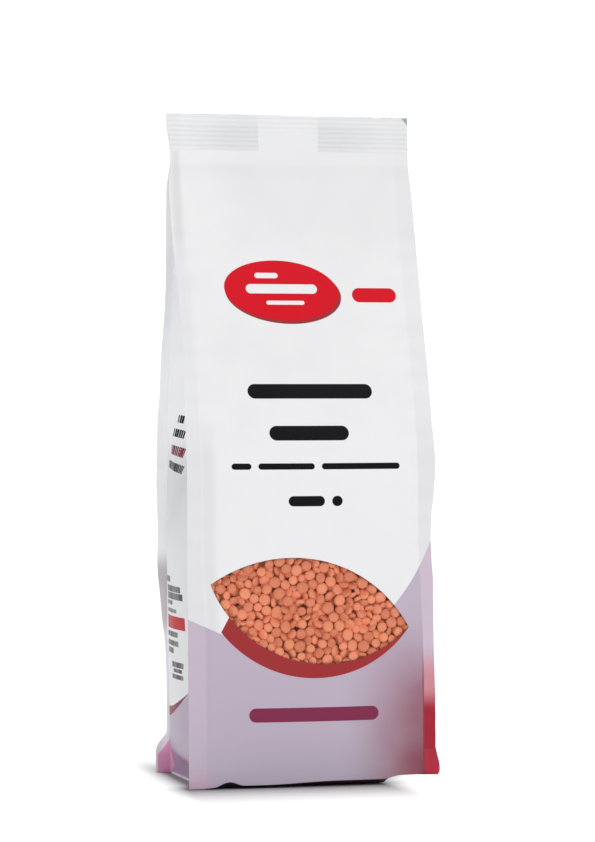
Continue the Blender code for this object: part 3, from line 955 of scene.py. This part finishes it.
def paintBack(tree, web, colour, groups):
    middle, table, inkHalf = webMiddle["back"], backTable, backTable["inkHalf"]
    colour = paintLowerColour(tree, web, colour, "back", groups)
    colour = paintBadge(tree, web, colour, (middle, badge["backHeight"]), badge["backScale"], groups)
    blocks = [dict(b, corner=(middle + b["corner"][0], b["corner"][1])) for b in backPrint]
    colour = paintSmallPrint(tree, web, colour, blocks, groups)
    levels = [table["top"] - table["pitch"] * k for k in range(table["rules"])]
    lines = [level - table["pitch"] / 2 for level in levels[:-1]]
    bars = [dict(middle=(middle, level), half=table["ruleHalf"], corner=0.1, ink="grey") for level in levels]
    bars += [dict(middle=(middle + table["words"], line), half=(table["wordHalves"][k % 3], inkHalf),
                  corner=inkHalf, ink="black") for k, line in enumerate(lines)]
    bars += [dict(middle=(middle + table["figures"], line), half=(table["figureHalf"], inkHalf),
                  corner=inkHalf, ink="black") for line in lines]
    bars += [dict(middle=(middle + 18.0, 77.0), half=(13.0, 2.2), corner=2.2, ink="deepRed")]
    return paintBars(tree, web, colour, bars, groups)


# The small print of a side gusset, in millimetres: the height of a row's middle, its start and end counted
# from the gusset's middle towards the front, and its ink's height
sideRows = [
    (134.8, -23.1, -18.5, 2.9, "black"), (129.5, -24.3, -15.0, 3.0, "black"),
    (123.1, -24.0, -10.0, 3.5, "arc"), (117.3, -26.0, -5.0, 3.0, "black"),
    (75.3, -21.0, -6.0, 2.2, "grey"), (71.9, -17.0, 12.0, 2.3, "black"), (69.2, -17.0, 15.0, 2.5, "black"),
    (66.6, -17.0, -2.0, 1.6, "grey"), (63.6, -17.0, 4.5, 1.5, "grey"),
    (54.8, -17.0, 5.5, 2.0, "black"), (51.4, -17.0, 6.0, 2.0, "black"), (48.6, -17.0, -2.5, 2.1, "black"),
    (43.6, -8.0, 11.5, 2.1, "black"), (41.4, -5.0, 9.0, 1.4, "black"), (39.1, -8.0, 11.0, 1.7, "black"),
]

# The gusset's printed areas: their sweeping edges, their shades, among them painted shade and highlight, and
# the box, in millimetres as sideRows
sideSweeps = dict(field=dict(a0=27.5, a1=0.388, a2=0.0082, a3=0.0),
                  band=dict(a0=29.5, a1=0.261, a2=0.0061, a3=0.0))
# the side goes back to about the film's white above the print, and the back fin is a painted highlight,
# lighter than that white
sideShades = [("sideUpper", ("v", 112.0, 134.0)), ("backFin", ("toFront", -28.4, -29.2)), ("arc", ("band",))]
# painted shade on the tucked foot of the gusset, below about 9 mm
sideLowShades = [("tuckShadeLilac", ("v", 10.2, 8.4)), ("rim", ("v", 0.9, 0.6))]
backFinShades = [("rim", ("backFin",), ("v", 52.0, 44.0)), ("pink", ("facet",))]
sideBox = dict(middle=(-2.5, 59.3), half=(14.5, 2.4), corner=0.5, ink="boxRed")


def paintSide(tree, side, colour, groups):
    # Both gussets: side coordinates run from the back edge to the front edge of either one
    parts = split(tree, side)
    toFront, v = parts["X"], parts["Y"]
    axes = dict(toFront=toFront, v=v, backFin=edgeMask(tree, plus(tree, toFront, halfGusset / mm)))
    for name, edge in sideSweeps.items():
        axes[name] = useGroup(tree, groups["sweep"], web=side, middle=0.0, **edge)
    colour = paintBands(tree, colour, axes, sideShades)
    # the gussets' lilac is painted darker, as shade
    lilac = paintBands(tree, inks["shadedSideLilac"], axes, sideLowShades)
    colour = paint(tree, colour, axes["field"], lilac)
    # the back fin is pale low down, with a pink facet at its foot between three slanting lines
    inner = plus(tree, toFront, maths(tree, "MULTIPLY_ADD", v, 0.20, 26.4))
    outer = minus(tree, minus(tree, v, 13.0), maths(tree, "MULTIPLY_ADD", toFront, 1.2, 34.8))
    outside = maths(tree, "MULTIPLY_ADD", toFront, -1.0, -34.0)
    axes["facet"] = edgeMask(tree, maths(tree, "MAXIMUM", maths(tree, "MAXIMUM", inner, outer), outside))
    colour = paintBands(tree, colour, axes, backFinShades)
    # rows of small print, which slant a little in the upper ones
    slant = times(tree, plus(tree, toFront, 17.0), ramp(tree, v, 90.0, 112.0, 0.0, 0.12))
    slanted = vectors(tree, "ADD", side, joined(tree, 0.0, slant))
    rows = [dict(corner=(start, height + ink), size=(end - start, 2.0 * ink), pitch=2.0 * ink, dash=1.5,
                 ink=name) for height, start, end, ink, name in sideRows]
    colour = paintSmallPrint(tree, slanted, colour, rows, groups)
    return paintBars(tree, side, colour, [sideBox], groups)


def newMaterial(name):
    material = bpy.data.materials.new(name)
    material.use_nodes = True
    tree = material.node_tree
    return material, tree, tree.nodes["Principled BSDF"]


def makeGrainGroup():
    # Uneven gloss of handled plastic film
    tree, enter, leave = newGroup("filmGrain", [("Place", "Vector"), ("Base", "Float"), ("Spread", "Float")],
                                  [("Value", "Float")])
    broad = cloudy(tree, enter.outputs["Place"], 38.0, 3.0)
    fine = cloudy(tree, enter.outputs["Place"], 420.0, 2.0)
    both = plus(tree, times(tree, broad, 0.7), times(tree, fine, 0.3))
    offset = times(tree, minus(tree, both, 0.5), enter.outputs["Spread"])
    tree.links.new(plus(tree, enter.outputs["Base"], offset), leave.inputs["Value"])
    return tree


# The unprinted film's tones, in order: an ink and its soft steps across (u) and up (v) the web, or away from
# the middle of a main panel (across), in millimetres: a random pale grey cloud, then painted shade, greyer
# above the lentils and high up, along the left seam, on the fins, under the sealed folds and at the top right
# corner
filmShades = [
    ("paleGrey", ("cloud", 0.35, 0.75, 0.0, 0.35)),
    # painted shade: greyer below about 150 mm, and again high up towards the seal, less so on the left
    ("shadeGrey", ("v", 150.0, 100.0, 0.0, 0.55)),
    ("shadeGrey", ("v", 185.0, 215.0, 0.0, 0.45), ("u", -30.0, -16.0)),
    ("shadeGrey", ("v", 222.0, 232.0, 0.0, 0.35)),
    # painted shade along the groove beside the left seam, below about 142 mm
    ("grooveShade", ("fromGroove", 3.8, 0.6), ("v", 142.0, 118.0, 0.0, 0.6)),
    # the fins, thin film with nothing behind it, painted greyer as shade, most of all below 108 mm
    ("thinFinShade", ("across", 40.5, 41.5), ("v", 152.0, 108.0, 0.3, 1.0)),
    # painted shade in the seal where the folded gussets lie between the panels
    ("sealShade", ("across", 11.2, 11.7), ("across", 41.0, 20.0, 0.35, 1.0), ("v", 236.3, 236.8),
     ("v", 247.4, 245.2, 0.45, 1.0)),
    # painted shade of the soft fold beside the left seam, high up
    ("foldShade", ("fromFold", 2.8, 0.6), ("v", 188.0, 210.0, 0.0, 0.45), ("v", 237.0, 235.0)),
    ("cornerShadeGrey", ("cornerShade",)),
]

# Over the print: both layers of the folded back left fin, pale low down and a mauve grey painted shade above,
# and the folded base painted dark as shade
lastShades = [
    ("rim", ("foldedFin",), ("v", 13.0, 13.4), ("v", 60.0, 50.0)),
    # painted shade: mauve grey on the folded fin higher up
    ("mauveShade", ("foldedFin",), ("v", 50.0, 60.0), ("v", 86.0, 76.0)),
    # painted shade: the folded base under the pouch, nearly black
    ("undersideShade", ("v", -0.2, -0.8)),
]

# The ragged top edge and the curl at the top right corner, both painted in shade, in millimetres on the web
shadedCorner = dict(height=250.45, ragged=1.3, start=18.0, full=30.0, strength=0.55, curlTop=250.0, curlX=44.3,
                  curlSlope=1.2, curlSoft=0.2)

# Where each panel's print gives way to the next one's, half way between their fins
panelEnds = dict(front=56.0, right=144.0, back=256.0)


def cornerShadeMask(tree, web, u, v):
    # painted shade: a grey line along the ragged top edge, stronger to the right, and a dark wedge where the
    # corner curls back
    onFront = maths(tree, "LESS_THAN", u, panelEnds["front"])
    ragged = maths(tree, "MULTIPLY_ADD", cloudy(tree, web, 0.45, 2.0), shadedCorner["ragged"], v)
    along = ramp(tree, u, shadedCorner["start"], shadedCorner["full"], 0.0, shadedCorner["strength"])
    cornerShade = times(tree, maths(tree, "GREATER_THAN", ragged, shadedCorner["height"]), along)
    slant = times(tree, minus(tree, u, shadedCorner["curlX"]), shadedCorner["curlSlope"])
    curl = plus(tree, minus(tree, v, shadedCorner["curlTop"]), slant)
    curl = ramp(tree, curl, -shadedCorner["curlSoft"], shadedCorner["curlSoft"])
    return times(tree, maths(tree, "MAXIMUM", cornerShade, curl), onFront)


# Gloss and bump of each surface: roughness and its spread, and the bump's strength and depth in metres
finishes = dict(film=dict(base=0.40, spread=0.22, strength=0.22, depth=0.0006),
                lentil=dict(base=0.55, spread=0.20, strength=0.25, depth=0.0002),
                clear=dict(base=0.16, spread=0.12, strength=0.20, depth=0.0006))


def addFinish(tree, shader, groups, place, finish, height):
    rough = useGroup(tree, groups["grain"], place=place, base=finish["base"], spread=finish["spread"])
    plug(tree, shader.inputs["Roughness"], rough)
    bump = addNode(tree, "ShaderNodeBump", Strength=finish["strength"], Distance=finish["depth"],
                   Height=height)
    plug(tree, shader.inputs["Normal"], bump.outputs["Normal"])


def makePrintedFilm(groups):
    material, tree, shader = newMaterial("printedFilm")
    uv = addNode(tree, "ShaderNodeUVMap", dict(uv_map="web")).outputs["UV"]
    web = vectors(tree, "SCALE", uv, 100.0)
    parts = split(tree, web)
    u, v = parts["X"], parts["Y"]
    place = objectPlace(tree)

    # distance from the middle of the nearer main panel, which lies at every second hundred
    fold = maths(tree, "PINGPONG", plus(tree, u, webMiddle["right"]), webMiddle["right"])
    axes = dict(u=u, v=v, cloud=cloudy(tree, web, 0.06, 3.0), across=fromLine(tree, fold, webMiddle["right"]),
                fromGroove=fromLine(tree, u, -38.4), fromFold=fromLine(tree, u, -43.8),
                cornerShade=cornerShadeMask(tree, web, u, v),
                foldedFin=times(tree, ramp(tree, u, 240.9, 241.1), maths(tree, "LESS_THAN", u, 271.0)))
    main = paintBands(tree, inks["white"], axes, filmShades)
    front = paintFront(tree, web, main, place, groups)
    back = paintBack(tree, web, main, groups)
    # the gussets' own coordinate runs towards the front on both sides
    onLeft = maths(tree, "GREATER_THAN", u, webMiddle["back"])
    mirrored = maths(tree, "MULTIPLY_ADD", u, 2.0, -webMiddle["right"] - webMiddle["left"])
    toFront = plus(tree, minus(tree, webMiddle["right"], u), times(tree, onLeft, mirrored))
    # the gussets' film is painted a shaded grey, darker than the panels' white
    side = paintSide(tree, joined(tree, toFront, v), inks["shadedSideFilm"], groups)
    colour = front
    for end, following in zip(panelEnds.values(), (side, back, side)):
        colour = paint(tree, colour, maths(tree, "GREATER_THAN", u, end), following)
    plug(tree, shader.inputs["Base Color"], paintBands(tree, colour, axes, lastShades))

    # pressed lentils under the filled part, and the film's own faint crinkle
    dimples = addNode(tree, "ShaderNodeTexVoronoi", dict(feature="SMOOTH_F1"), Vector=place, Scale=235.0,
                      Smoothness=0.6).outputs["Distance"]
    filled = times(tree, dimples, ramp(tree, v, 126.0, 104.0))
    crinkle = cloudy(tree, place, 90.0, 4.0, 0.55)
    height = plus(tree, times(tree, filled, 0.10), times(tree, crinkle, 0.25))
    addFinish(tree, shader, groups, place, finishes["film"], height)
    shader.inputs["Specular IOR Level"].default_value = 0.08
    return material


# Colours behind the window, and of the clear film over it
seedColours = dict(dark=(0.70, 0.180, 0.080), light=(0.95, 0.310, 0.155), golden=(0.74, 0.26, 0.08),
                   dusty=(0.82, 0.42, 0.27), pocket=(0.58, 0.18, 0.09), pocketDeep=(0.30, 0.080, 0.040),
                   clearFilm=(0.40, 0.17, 0.11, 1.0))


def makePocketMaterial():
    # Between the lentils: the deeper ones, out of the light
    material, tree, shader = newMaterial("pocketShade")
    spots = addNode(tree, "ShaderNodeTexVoronoi", Vector=objectPlace(tree), Scale=250.0).outputs["Distance"]
    colour = paint(tree, seedColours["pocket"], ramp(tree, spots, 0.0, 0.7), seedColours["pocketDeep"])
    plug(tree, shader.inputs["Base Color"], colour)
    shader.inputs["Roughness"].default_value = 0.7
    return material


def makeLentilMaterial(groups):
    material, tree, shader = newMaterial("redLentil")
    place = objectPlace(tree)
    tone = addNode(tree, "ShaderNodeAttribute", dict(attribute_name="seedTone")).outputs["Fac"]
    colour = paint(tree, seedColours["dark"], ramp(tree, tone, 0.0, 1.0), seedColours["light"])
    colour = paint(tree, colour, ramp(tree, tone, 0.90, 1.0, 0.0, 0.45), seedColours["golden"])
    mottle = cloudy(tree, place, 900.0, 3.0)
    colour = paint(tree, colour, ramp(tree, mottle, 0.35, 0.75, 0.0, 0.28), seedColours["dusty"])
    plug(tree, shader.inputs["Base Color"], colour)
    addFinish(tree, shader, groups, place, finishes["lentil"], cloudy(tree, place, 1500.0, 2.0))
    return material


def makeClearFilm(groups):
    material, tree, shader = newMaterial("clearFilm")
    place = objectPlace(tree)
    shader.inputs["Base Color"].default_value = seedColours["clearFilm"]
    shader.inputs["Alpha"].default_value = 0.05
    addFinish(tree, shader, groups, place, finishes["clear"], cloudy(tree, place, 120.0, 3.0))
    return material


groups = dict(bar=makeBarGroup(), oval=makeOvalGroup(), sweep=makeSweepGroup(), text=makeTextBlockGroup(),
              grain=makeGrainGroup())
printedFilm, pocketShade = makePrintedFilm(groups), makePocketMaterial()
redLentil, clearFilm = makeLentilMaterial(groups), makeClearFilm(groups)
print("materials made")

skin = makeSkin()
skin.data.materials.append(printedFilm)
skin.data.materials.append(pocketShade)
cutWindow(skin)
smoothByAngle(skin)
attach(skin, "root")
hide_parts("pouch")
print("pouch film made:", len(skin.data.polygons), "faces")

film = makeWindowFilm()
film.data.materials.append(clearFilm)
smoothByAngle(film)
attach(film, "root")
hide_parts("pouch")
print("window film made")

heap = makeLentils()
heap.data.materials.append(redLentil)
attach(heap, "root")
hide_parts("lentils")
print("lentils made:", len(heap.data.polygons), "faces")

# Stage, light and camera, in metres and degrees
studio = dict(azimuth=-14.08, elevation=1.1, distance=1.266, focalPixels=3356.3, frameHeight=842.0,
              aimRight=0.00117, aimUp=0.00973, worldLight=0.62,
              lamps=[dict(name="keyLight", size=0.9, power=4.7, location=(0.55, -1.25, 1.05)),
                     dict(name="fillLight", size=0.8, power=1.0, location=(-1.1, -0.9, 0.5))],
              floorColour=(0.36, 0.36, 0.365), floorGlow=0.95, backdrop=1.2,
              shadowReach=0.014, shadowStretch=0.20, shadowDepth=0.027,
              shadowLeft=(-0.026, -0.012, 0.0468, 0.0437), shadowRight=(-0.014, 0.012, 0.027, 0.042))


def makeStage():
    # A white floor that glows like a light table, its glow fading out to a painted shadow round the pouch
    deselectAll()
    bpy.ops.mesh.primitive_plane_add(size=8.0, location=(0.0, 0.0, -0.0001))
    floor = bpy.context.object
    floor.name = "floor"
    material, tree, shader = newMaterial("paleFloor")
    shader.inputs["Base Color"].default_value = (*studio["floorColour"], 1.0)
    shader.inputs["Roughness"].default_value = 0.7
    shader.inputs["Specular IOR Level"].default_value = 0.1
    shader.inputs["Emission Color"].default_value = (1.0, 1.0, 1.0, 1.0)
    parts = split(tree, objectPlace(tree))
    x, y = parts["X"], parts["Y"]
    # the painted shadow is narrower in front, where the bag's corners turn away from the camera
    leftAway = minus(tree, times(tree, x, -1.0), ramp(tree, y, *studio["shadowLeft"]))
    rightAway = minus(tree, x, ramp(tree, y, *studio["shadowRight"]))
    beside = maths(tree, "MAXIMUM", maths(tree, "MAXIMUM", leftAway, rightAway), 0.0)
    ahead = maths(tree, "MAXIMUM", minus(tree, maths(tree, "ABSOLUTE", y), studio["shadowDepth"]), 0.0)
    away = vectors(tree, "LENGTH", joined(tree, beside, times(tree, ahead, studio["shadowStretch"])))
    glow = maths(tree, "POWER", ramp(tree, away, 0.0, studio["shadowReach"]), 0.5)
    plug(tree, shader.inputs["Emission Strength"], times(tree, glow, studio["floorGlow"]))
    floor.data.materials.append(material)


def areaLight(name, size, power, location, target=(0.0, 0.0, 0.11)):
    light = bpy.data.lights.new(name, "AREA")
    light.size = size
    light.energy = power
    obj = bpy.data.objects.new(name, light)
    obj.location = location
    obj.rotation_euler = (Vector(target) - Vector(location)).to_track_quat("-Z", "Y").to_euler()
    bpy.context.scene.collection.objects.link(obj)


def makeLights():
    # A soft white room, shown to the camera as a plain white backdrop
    world = bpy.data.worlds.new("studio")
    world.use_nodes = True
    tree = world.node_tree
    background = tree.nodes["Background"]
    background.inputs["Color"].default_value = (1.0, 1.0, 1.0, 1.0)
    seen = addNode(tree, "ShaderNodeLightPath").outputs["Is Camera Ray"]
    strength = ramp(tree, seen, 0.0, 1.0, studio["worldLight"], studio["backdrop"])
    plug(tree, background.inputs["Strength"], strength)
    bpy.context.scene.world = world
    for light in studio["lamps"]:
        areaLight(**light)


def makeCamera():
    data = bpy.data.cameras.new("photoCamera")
    data.sensor_fit = "VERTICAL"
    data.sensor_height = 36.0
    data.lens = studio["focalPixels"] * data.sensor_height / studio["frameHeight"]
    data.clip_start, data.clip_end = 0.05, 30.0
    camera = bpy.data.objects.new("photoCamera", data)
    azimuth, elevation = math.radians(studio["azimuth"]), math.radians(studio["elevation"])
    toCamera = Vector((math.sin(azimuth) * math.cos(elevation), -math.cos(azimuth) * math.cos(elevation),
                       math.sin(elevation)))
    middle = Vector((0.0, 0.0, pouch["height"] / 2))
    camera.location = middle + toCamera * studio["distance"]
    right = (-toCamera).cross(Vector((0.0, 0.0, 1.0))).normalized()
    up = right.cross(-toCamera)
    aim = middle + right * studio["aimRight"] + up * studio["aimUp"]
    camera.rotation_euler = (aim - camera.location).to_track_quat("-Z", "Y").to_euler()
    bpy.context.scene.collection.objects.link(camera)
    bpy.context.scene.camera = camera


makeStage()
makeLights()
makeCamera()
bpy.context.scene.view_settings.view_transform = "Standard"
print("stage, lights and camera set")
